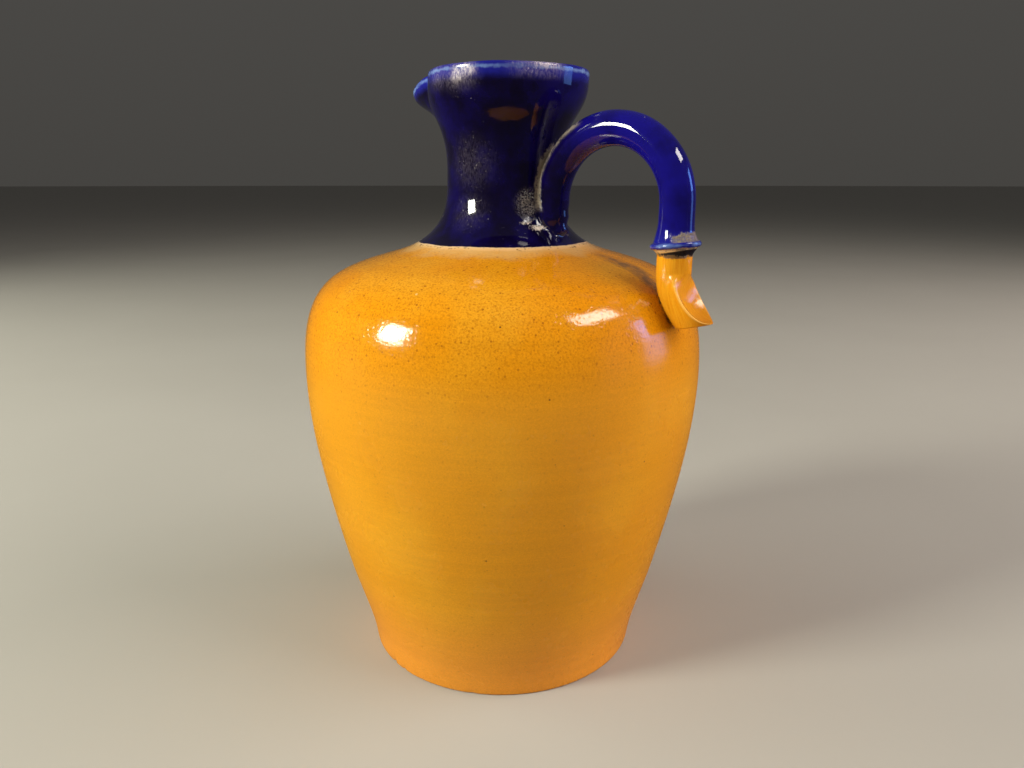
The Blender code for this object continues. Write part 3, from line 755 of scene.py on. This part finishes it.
class Graph:
    """Short calls that add nodes to a material and join them up."""

    def __init__(self, name):
        self.material = bpy.data.materials.new(name)
        self.material.use_nodes = True
        self.tree = self.material.node_tree
        self.tree.nodes.clear()
        self.place = self.node("ShaderNodeTexCoord").outputs["Object"]

    def node(self, kind, inputs=(), **settings):
        """Adds a node with these settings, and links its inputs or gives them their values."""
        made = self.tree.nodes.new(kind)
        for key, value in settings.items():
            setattr(made, key, value)
        for key, value in dict(inputs).items():
            if isinstance(value, bpy.types.NodeSocket):
                self.tree.links.new(value, made.inputs[key])
            else:
                made.inputs[key].default_value = value
        return made

    def attribute(self, name):
        """One of the values that the mesh holds at each point."""
        return self.node("ShaderNodeAttribute", attribute_name=name).outputs["Fac"]

    def axes(self):
        """The place as X, Y and Z, in metres."""
        return self.node("ShaderNodeSeparateXYZ", {0: self.place}).outputs

    def math(self, operation, first, second):
        """One sum on two numbers."""
        return self.node("ShaderNodeMath", {0: first, 1: second}, operation=operation).outputs[0]

    def product(self, *factors):
        """All of the factors multiplied."""
        result = factors[0]
        for factor in factors[1:]:
            result = self.math("MULTIPLY", result, factor)
        return result

    def most(self, *values):
        """The largest of the values."""
        result = values[0]
        for value in values[1:]:
            result = self.math("MAXIMUM", result, value)
        return result

    def span(self, value, low, high, to_low=0.0, to_high=1.0):
        """The value mapped from one range to another, eased in and out, and held at the ends."""
        inputs = {0: value, 1: low, 2: high, 3: to_low, 4: to_high}
        return self.node("ShaderNodeMapRange", inputs, interpolation_type="SMOOTHSTEP").outputs[0]

    def stretched(self, scale, place=None):
        """The place with its axes multiplied, for a pattern that is finer along one axis than another."""
        inputs = {0: place or self.place, 1: scale}
        return self.node("ShaderNodeVectorMath", inputs, operation="MULTIPLY").outputs[0]

    def noise(self, scale, detail=2.0, roughness=0.5, place=None):
        """Cloudy noise from about 0 to 1."""
        inputs = {"Vector": place or self.place, "Scale": scale, "Detail": detail, "Roughness": roughness}
        return self.node("ShaderNodeTexNoise", inputs).outputs["Fac"]

    def specks(self, scale, size, share):
        """Round specks: how many to a metre, their size against their spacing, and the share of them kept."""
        cells = self.node("ShaderNodeTexVoronoi", {"Vector": self.place, "Scale": scale})
        random = self.node("ShaderNodeSeparateColor", {0: cells.outputs["Color"]}).outputs[0]
        kept = self.math("LESS_THAN", random, share)
        return self.product(kept, self.span(cells.outputs["Distance"], size, size * 0.45))

    def near(self, centre, reach, inner=0.0, squeeze=(1.0, 1.0, 1.0)):
        """A patch on the jug: 0 at the reach from its centre and 1 at the inner distance, in millimetres.

        Distances along X, Y and Z are taken times the squeeze, which narrows the patch along that axis."""
        squeezed = [c * s * MM for c, s in zip(centre, squeeze)]
        inputs = {0: self.stretched(squeeze), 1: squeezed}
        away = self.node("ShaderNodeVectorMath", inputs, operation="DISTANCE").outputs["Value"]
        return self.span(away, reach * MM, inner * MM)

    def mix(self, share, first, second):
        """A colour between two others, at a share from the first to the second."""
        inputs = {0: share, 6: opaque(first), 7: opaque(second)}
        return self.node("ShaderNodeMix", inputs, data_type="RGBA").outputs[2]

    def blend(self, share, first, second):
        """A number between two others, at a share from the first to the second."""
        return self.node("ShaderNodeMix", {0: share, 2: first, 3: second}, data_type="FLOAT").outputs[0]

    def shade(self, colour, amount):
        """The colour made lighter or darker by a factor."""
        inputs = {0: colour, "Scale": amount}
        return self.node("ShaderNodeVectorMath", inputs, operation="SCALE").outputs[0]

    def finish(self, colour, roughness, normal, **constants):
        """Ends the material with one shader, its constant values set on the sockets."""
        shader = self.node("ShaderNodeBsdfPrincipled", {"Base Color": colour, "Roughness": roughness})
        if normal is not None:
            self.tree.links.new(normal, shader.inputs["Normal"])
        for key, value in constants.items():
            shader.inputs[key.replace("_", " ")].default_value = value
        output = self.node("ShaderNodeOutputMaterial")
        self.tree.links.new(shader.outputs[0], output.inputs[0])
        return self.material


def ochre_glaze(g):
    """Honey-coloured salt glaze: colour, roughness and relief, in millimetres of height."""
    height = g.axes()[2]
    drift = g.noise(18, 2, 0.5)
    upper = g.span(g.math("ADD", height, g.math("MULTIPLY", drift, 0.02)), 0.108, 0.142)
    colour = g.mix(upper, OCHRE, SHOULDER_OCHRE)
    colour = g.mix(g.span(g.noise(26, 3, 0.55), 0.40, 0.70), colour, PALE_OCHRE)
    foot = g.span(height, 0.045, 0.004)
    colour = g.mix(g.product(foot, 0.7), colour, FOOT_OCHRE)
    lines = g.noise(1.0, 4, 0.65, g.stretched((14, 14, 700)))
    colour = g.shade(colour, g.span(lines, 0.3, 0.7, 0.965, 1.035))
    peel = g.noise(1500, 3, 0.6)
    grain = g.noise(1900, 2, 0.7)
    colour = g.shade(colour, g.span(grain, 0.32, 0.62, 1.06, 0.93))
    mottle = g.product(g.span(peel, 0.47, 0.66), g.blend(upper, 0.12, 0.56))
    colour = g.mix(mottle, colour, MOTTLE)
    colour, iron = ochre_specks(g, colour, upper)
    strap = g.attribute("strap")
    strap_colour, streaks = strap_glaze(g)
    colour = g.mix(g.product(strap, 0.85), colour, strap_colour)
    roughness = g.blend(g.most(upper, strap), 0.25, 0.060)
    roughness = g.math("ADD", roughness, g.span(g.noise(60, 3, 0.6), 0.3, 0.7, -0.015, 0.035))
    relief = g.product(g.math("SUBTRACT", peel, 0.5), g.blend(upper, 0.014, 0.020))
    dimples = g.most(g.specks(620, 0.42, 0.5), g.specks(880, 0.42, 0.6))
    relief = g.math("SUBTRACT", relief, g.product(dimples, upper, 0.021))
    relief = g.math("ADD", relief, g.product(lines, 0.022))
    relief = g.math("ADD", relief, g.product(grain, 0.006))
    relief = g.math("SUBTRACT", relief, g.product(iron, 0.03))
    relief = g.math("ADD", relief, g.product(strap, streaks, 0.07))
    return colour, roughness, relief


def ochre_specks(g, colour, upper):
    """Fine, brown, iron and pale specks in the ochre glaze. Gives the colour and where the iron lies."""
    fine = g.product(g.specks(1150, 0.42, 0.50), g.blend(upper, 0.10, 0.42))
    colour = g.mix(fine, colour, FINE_SPECK)
    brown = g.product(g.specks(440, 0.21, 0.54), g.blend(upper, 0.22, 0.72))
    colour = g.mix(brown, colour, BROWN_SPECK)
    iron = g.most(g.specks(230, 0.090, 0.22), g.product(g.specks(270, 0.10, 0.50), 0.38))
    colour = g.mix(g.product(iron, 0.85), colour, IRON_SPECK)
    pale = g.specks(75, 0.040, 0.15)
    return g.mix(g.product(pale, 0.5), colour, PALE_SPECK), iron


def strap_glaze(g):
    """Colour of the strap, streaked along its length and with a painted highlight on its two ridges, and the
    streaks alone.
    """
    along = g.attribute("along")
    lengthwise = g.node("ShaderNodeCombineXYZ", {0: g.attribute("around"), 1: along}).outputs[0]
    streaks = g.noise(1.0, 3, 0.6, g.stretched((2.6, 0.14, 1.0), lengthwise))
    colour = g.mix(g.span(streaks, 0.30, 0.72), STRAP_OCHRE, STRAP_STREAK)
    tip = g.span(along, 17.0, 27.0)
    colour = g.mix(g.product(tip, 0.35), colour, STRAP_TIP)
    # Painted highlight: a pale cream line along each ridge of the strap, from part way down to the tip
    ridge = g.product(g.span(g.attribute("edge_distance"), 1.1, 0.2), g.span(along, 9.0, 15.0), 0.62)
    return g.mix(ridge, colour, STRAP_RIDGE_HIGHLIGHT), streaks


def cobalt_glaze(g):
    """Dark blue glaze: near black where it is thick, pale blue where it runs thin over an edge, and a
    brighter blue painted on the handle's side as sheen.
    """
    depth = g.noise(95, 3, 0.6)
    colour = g.mix(g.span(depth, 0.35, 0.70), THICK_COBALT, COBALT)
    # Painted sheen: from 24 to 42 mm towards the handle the blue is made brighter, standing for light and
    # reflection on it
    handle = g.product(g.span(g.axes()[0], 0.024, 0.042), g.span(depth, 0.25, 0.65, 0.4, 0.9))
    colour = g.mix(handle, colour, HANDLE_SHEEN_COBALT)
    edge_distance = g.math("ADD", g.attribute("edge_distance"), g.span(g.noise(190, 3, 0.65), 0.3, 0.7, -0.35, 0.45))
    colour = g.mix(g.span(edge_distance, 4.2, 0.8), colour, THIN_COBALT)
    pale = g.product(g.span(edge_distance, 0.95, 0.10), g.span(g.noise(75, 3, 0.6), 0.34, 0.62, 0.18, 0.90))
    colour = g.mix(pale, colour, PALE_COBALT)
    dust = g.product(g.specks(420, 0.11, 0.10), g.span(g.noise(45, 2), 0.45, 0.62))
    colour = g.mix(g.product(dust, 0.55), colour, DUST)
    roughness = g.span(g.noise(130, 3, 0.6), 0.3, 0.7, 0.040, 0.080)
    relief = g.product(g.noise(260, 1), 0.030)
    relief = g.math("SUBTRACT", relief, g.product(g.specks(300, 0.10, 0.12), 0.03))
    return colour, roughness, relief


def wear(g, colour, roughness, relief):
    """Haze, scratches and scuffs on the dark glaze."""
    cloud = g.span(g.noise(1.0, 4, 0.75, g.stretched((1700, 1700, 700))), 0.38, 0.66, 0.15, 1.0)
    left_haze = g.most(g.near(*CUP_HAZE), g.product(g.near(*LIP_HAZE), 0.7))
    left_haze = g.product(left_haze, g.span(g.attribute("edge_distance"), 9.0, 2.0))
    right_haze = g.product(g.near(*RIGHT_HAZE), g.span(g.attribute("edge_distance"), 4.5, 0.5))
    rim_haze = g.most(left_haze, right_haze)
    neck_haze = g.most(g.near(*NECK_HAZE), g.near(*LOW_NECK_HAZE))
    haze = g.product(cloud, g.most(g.product(rim_haze, 0.24), g.product(neck_haze, 0.06)))
    colour = g.mix(haze, colour, HAZE)
    roughness = g.blend(haze, roughness, 0.40)
    scuff = g.most(g.near(*RIM_SCUFF), g.near(*CUP_SCUFF), g.product(g.near(*RIGHT_SCUFF), 0.8))
    scuff = g.product(scuff, cloud)
    colour = g.mix(g.product(scuff, 0.72), colour, SCUFF)
    flecks = g.product(g.span(g.noise(1500, 2, 0.6), 0.66, 0.74), g.most(rim_haze, g.product(neck_haze, 0.7)))
    colour = g.mix(g.product(flecks, 0.6), colour, FLECK)
    slant = g.node("ShaderNodeMapping", {0: g.place, 2: (0.3, 0.5, 0.9)}).outputs[0]
    lines = g.span(g.noise(1.0, 2, 0.5, g.stretched((2400, 190, 1900), slant)), 0.70, 0.76)
    scratched = g.most(g.near(*CUP_SCRATCHES), g.product(g.near(*NECK_SCRATCHES), 0.9))
    scratches = g.product(lines, scratched)
    colour = g.mix(g.product(scratches, 0.8), colour, SCRATCH)
    roughness = g.blend(g.most(scratches, scuff), roughness, 0.5)
    return colour, roughness, g.math("SUBTRACT", relief, g.product(scratches, 0.03))


def dirt_and_shade(g, colour, roughness, relief):
    """Old dirt with painted shade in the joints, dirt at the handle's root and on the collar's ledge, a pale
    flaky patch below the root, painted shadow with dirt in the recess under the collar, and a smear of dirt
    and painted shade on the shoulder.
    """
    ragged = g.noise(420, 4, 0.7)
    crumbs = g.span(g.noise(1100, 4, 0.75), 0.42, 0.60)
    closeness = g.math("SUBTRACT", g.attribute("joint"), g.span(ragged, 0.3, 0.7, -0.3, 0.6))
    # Dirt and painted shade close along every joint, darkest right in it
    deep_dirt_and_shade = g.product(g.span(closeness, 0.45, -0.15), 0.85)
    colour = g.mix(deep_dirt_and_shade, colour, JOINT_DIRT_AND_SHADE)
    colour, band, sleeve = root_dirt(g, colour, ragged, closeness)
    colour, pale_patch = root_pale_patch(g, colour)
    colour, ledge, recess_shadow_and_dirt = collar_dirt_and_shadow(g, colour, ragged, crumbs)
    # Smear of dirt and painted shade on the shoulder under the handle
    smear_and_shade = g.most(g.near(*HIGH_SMEAR_AND_SHADE), g.near(*LOW_SMEAR_AND_SHADE))
    smear_and_shade = g.product(smear_and_shade, g.span(g.noise(260, 5, 0.8), 0.32, 0.54), 0.90)
    colour = g.mix(smear_and_shade, colour, SMEAR_AND_SHADE_BROWN)
    grime_and_shade = g.most(band, sleeve, pale_patch, ledge, g.product(smear_and_shade, 0.8), deep_dirt_and_shade, recess_shadow_and_dirt)
    roughness = g.blend(grime_and_shade, roughness, 0.75)
    rough_relief = g.product(g.most(band, pale_patch, ledge), g.math("ADD", ragged, crumbs), 0.12)
    return colour, roughness, g.math("ADD", relief, rough_relief)


def root_dirt(g, colour, ragged, closeness):
    """Beige dirt at the handle's root: the colour, the thick dirt in its joint, and the film on its tube."""
    raised = g.span(g.axes()[2], 0.1555, 0.1585)
    band = g.product(g.span(closeness, 1.7, 0.8), g.near(*ROOT_DIRT), raised)
    band = g.product(band, g.span(g.noise(1500, 3, 0.7), 0.36, 0.58, 0.30, 1.0))
    colour = g.mix(g.product(band, 0.85), colour, ROOT_BAND)
    around_root = g.product(g.near(*ROOT_PATCH), g.near(*PATCH_INNER))
    patch = g.product(g.span(g.noise(2100, 4, 0.8), 0.47, 0.56), around_root)
    colour = g.mix(g.product(patch, 0.80), colour, ROOT_BEIGE)
    sleeve = g.product(g.near(*SLEEVE_INNER), g.near(*SLEEVE_OUTER), g.near(*SLEEVE_PLACE))
    front = g.span(g.axes()[1], -0.0050, -0.0036)
    sleeve = g.product(sleeve, front, g.span(ragged, 0.32, 0.58), 0.85)
    return g.mix(sleeve, colour, SLEEVE_BEIGE), g.most(band, patch), sleeve


def root_pale_patch(g, colour):
    """Pale flaky patch on the shoulder below the handle's root: the colour and where it lies."""
    pale_patch = g.most(g.near(*NEAR_PALE_PATCH), g.product(g.near(*FAR_PALE_PATCH), 0.75))
    flaky = g.product(g.math("SUBTRACT", g.noise(1300, 4, 0.85), 0.5), 3.4)
    pale_patch = g.product(g.span(g.math("ADD", pale_patch, flaky), 0.52, 0.72), g.span(pale_patch, 0.05, 0.30))
    return g.mix(pale_patch, colour, g.mix(g.noise(1700, 2), PALE_PATCH_CREAM, PALE_PATCH_TAN)), pale_patch


def collar_dirt_and_shadow(g, colour, ragged, crumbs):
    """Dirt on the collar's ledge, and painted shadow with dirt in the recess under it: the colour and where
    the two lie.
    """
    edge_distance, cobalt = g.attribute("edge_distance"), g.attribute("cobalt")
    height_on_flare = g.math("SUBTRACT", edge_distance, g.span(ragged, 0.3, 0.7, -0.5, 0.6))
    ledge = g.product(g.near(*COLLAR_LEDGE), g.span(height_on_flare, 3.1, 2.6), g.span(edge_distance, 0.70, 0.95))
    ledge = g.product(ledge, g.blend(0.55, g.span(crumbs, 0.0, 1.0), 1.0))
    colour = g.mix(ledge, colour, LEDGE_BROWN)
    under = g.math("ADD", cobalt, g.span(g.axes()[0], 0.060, 0.076, 0.65, -0.35))
    # Painted shadow with dirt in the recess under the collar
    recess_shadow_and_dirt = g.product(g.span(under, -0.55, -0.85), g.span(cobalt, -4.6, -4.1), g.near(*COLLAR_RECESS))
    return g.mix(recess_shadow_and_dirt, colour, RECESS_SHADOW_AND_DIRT), ledge, recess_shadow_and_dirt


def jug_material():
    """Both glazes with a painted sheen and highlight, the tan band where they meet, the wear, the dirt with
    painted shade and shadow, and the bare clay under the foot.
    """
    g = Graph("stoneware_glazes")
    ochre, ochre_rough, ochre_relief = ochre_glaze(g)
    blue, blue_rough, blue_relief = cobalt_glaze(g)
    blue, blue_rough, blue_relief = wear(g, blue, blue_rough, blue_relief)
    cobalt = g.math("ADD", g.attribute("cobalt"), g.span(g.noise(520, 2, 0.6), 0.3, 0.7, -0.12, 0.12))
    is_blue = g.span(cobalt, -0.10, 0.12)
    not_strap = g.math("SUBTRACT", 1.0, g.attribute("strap"))
    uneven = g.math("ADD", g.attribute("cobalt"), g.span(g.noise(110, 3, 0.6), 0.3, 0.7, -2.0, 2.0))
    ochre = g.mix(g.product(g.span(uneven, -9.5, -1.0), not_strap, 0.80), ochre, WIDE_TAN)
    band = g.product(g.span(cobalt, -2.4, -1.2), not_strap)
    ochre = g.mix(g.product(band, 0.38), ochre, TAN_BAND)
    pits = g.product(g.most(g.specks(430, 0.34, 0.52), g.specks(900, 0.40, 0.45)), band)
    ochre = g.mix(g.product(pits, 0.9), ochre, TAN_PIT)
    lip = g.product(g.span(cobalt, -0.95, -0.25), g.span(cobalt, 0.25, -0.05))
    ochre = g.mix(g.product(lip, 0.5), ochre, TAN_LINE)
    colour = g.mix(is_blue, ochre, blue)
    roughness = g.blend(is_blue, ochre_rough, blue_rough)
    relief = g.blend(is_blue, ochre_relief, blue_relief)
    relief = g.math("ADD", relief, g.product(g.span(cobalt, -0.25, 0.6), 0.16))
    colour, roughness, relief = dirt_and_shade(g, colour, roughness, relief)
    bare = g.attribute("bare")
    clay = g.mix(g.span(g.noise(300, 4, 0.7), 0.35, 0.65), DARK_CLAY, PALE_CLAY)
    colour = g.mix(bare, colour, clay)
    roughness = g.blend(bare, roughness, 0.8)
    inputs = {"Height": relief, "Distance": MM, "Strength": 1.0}
    normal = g.node("ShaderNodeBump", inputs).outputs["Normal"]
    return g.finish(colour, roughness, normal, IOR=1.46)


def make_floor():
    """A plain pale floor, wide enough to have no edge in any view."""
    mesh = bpy.data.meshes.new("studio_floor")
    shape = bmesh.new()
    bmesh.ops.create_circle(shape, cap_ends=True, segments=GROUND_SEGMENTS, radius=GROUND_RADIUS)
    shape.to_mesh(mesh)
    shape.free()
    floor = bpy.data.objects.new("studio_floor", mesh)
    bpy.context.scene.collection.objects.link(floor)
    g = Graph("pale_floor")
    tone = g.mix(g.noise(6, 3, 0.5), *GROUND_COLOURS)
    mesh.materials.append(g.finish(tone, 0.75, None))
    floor.visible_glossy = False


def aim(turn, rise, distance, target):
    """Placement of a lamp aimed at a point: its turn from the camera's side and its rise, in degrees."""
    turn = CAMERA_TURN - math.radians(90) + math.radians(turn)
    rise = math.radians(rise)
    away = Vector((math.cos(turn) * math.cos(rise), math.sin(turn) * math.cos(rise), math.sin(rise)))
    return Matrix.Translation(target + away * distance) @ away.to_track_quat("Z", "Y").to_matrix().to_4x4()


def make_lamp(name, turn, rise, distance, size, power, colour, diffuse=True, glossy=True):
    """A soft lamp, which can be made to light the jug only, or to show in its reflections only."""
    lamp = bpy.data.lights.new(name, "AREA")
    lamp.shape = "RECTANGLE"
    lamp.size, lamp.size_y = size
    lamp.energy = power
    lamp.color = colour
    holder = bpy.data.objects.new(name, lamp)
    holder.matrix_world = aim(turn, rise, distance, LAMP_TARGET)
    holder.visible_diffuse = diffuse
    holder.visible_glossy = glossy
    bpy.context.scene.collection.objects.link(holder)


def make_lights():
    """A key on the left, fills on both sides and above, and a lamp and a window that gleam on the right."""
    make_lamp("key_left", -65, 24, 1.3, (0.32, 0.36), 22.0, LEFT_LIGHT)
    make_lamp("lamp_right", 68, 45, 1.4, (0.62, 0.30), 10.0, (1.0, 0.93, 0.84), diffuse=False)
    make_lamp("fill_left", -100, 10, 1.4, (0.9, 0.9), 15.5, LEFT_LIGHT, glossy=False)
    make_lamp("fill_right", 80, 22, 1.5, (1.4, 1.4), 34.0, (1.0, 0.88, 0.78), glossy=False)
    make_lamp("fill_top", 35, 64, 1.5, (1.2, 1.2), 6.0, (1.0, 0.94, 0.86), glossy=False)
    make_lamp("window_high", 92, 18, 1.5, (0.42, 0.42), 5.0, WINDOW_BLUE, diffuse=False)
    make_lamp("window_low", 92, 3, 1.5, (0.42, 0.34), 1.4, WINDOW_BLUE, diffuse=False)


def make_background():
    """Dim, even surroundings, a little lighter above than below."""
    world = bpy.data.worlds.new("studio")
    bpy.context.scene.world = world
    world.use_nodes = True
    nodes, links = world.node_tree.nodes, world.node_tree.links
    background = nodes["Background"]
    coordinates = nodes.new("ShaderNodeTexCoord")
    split = nodes.new("ShaderNodeSeparateXYZ")
    ramp = nodes.new("ShaderNodeValToRGB")
    links.new(coordinates.outputs["Generated"], split.inputs[0])
    links.new(split.outputs["Z"], ramp.inputs[0])
    ramp.color_ramp.elements[0].color = BACKGROUND_BELOW
    ramp.color_ramp.elements[1].color = BACKGROUND_ABOVE
    links.new(ramp.outputs[0], background.inputs["Color"])


def make_camera():
    """The camera that the photograph was taken with."""
    camera = bpy.data.objects.new("camera", bpy.data.cameras.new("camera"))
    camera.data.sensor_width = FILM_WIDTH
    camera.data.lens = CAMERA_LENS
    camera.data.clip_start = 0.01
    tip = Matrix.Rotation(math.radians(90) - CAMERA_DIP, 4, "X")
    camera.matrix_world = Matrix.Rotation(CAMERA_TURN, 4, "Z") @ Matrix.Translation(CAMERA_PLACE) @ tip
    bpy.context.scene.collection.objects.link(camera)
    bpy.context.scene.camera = camera


def main():
    """Makes the jug and its studio."""
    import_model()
    make_camera()
    jug = make_jug()
    jug.data.materials.clear()
    jug.data.materials.append(jug_material())
    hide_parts("jug")
    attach(jug, "root")
    make_floor()
    make_lights()
    make_background()
    bpy.context.scene.view_settings.view_transform = "Standard"


main()
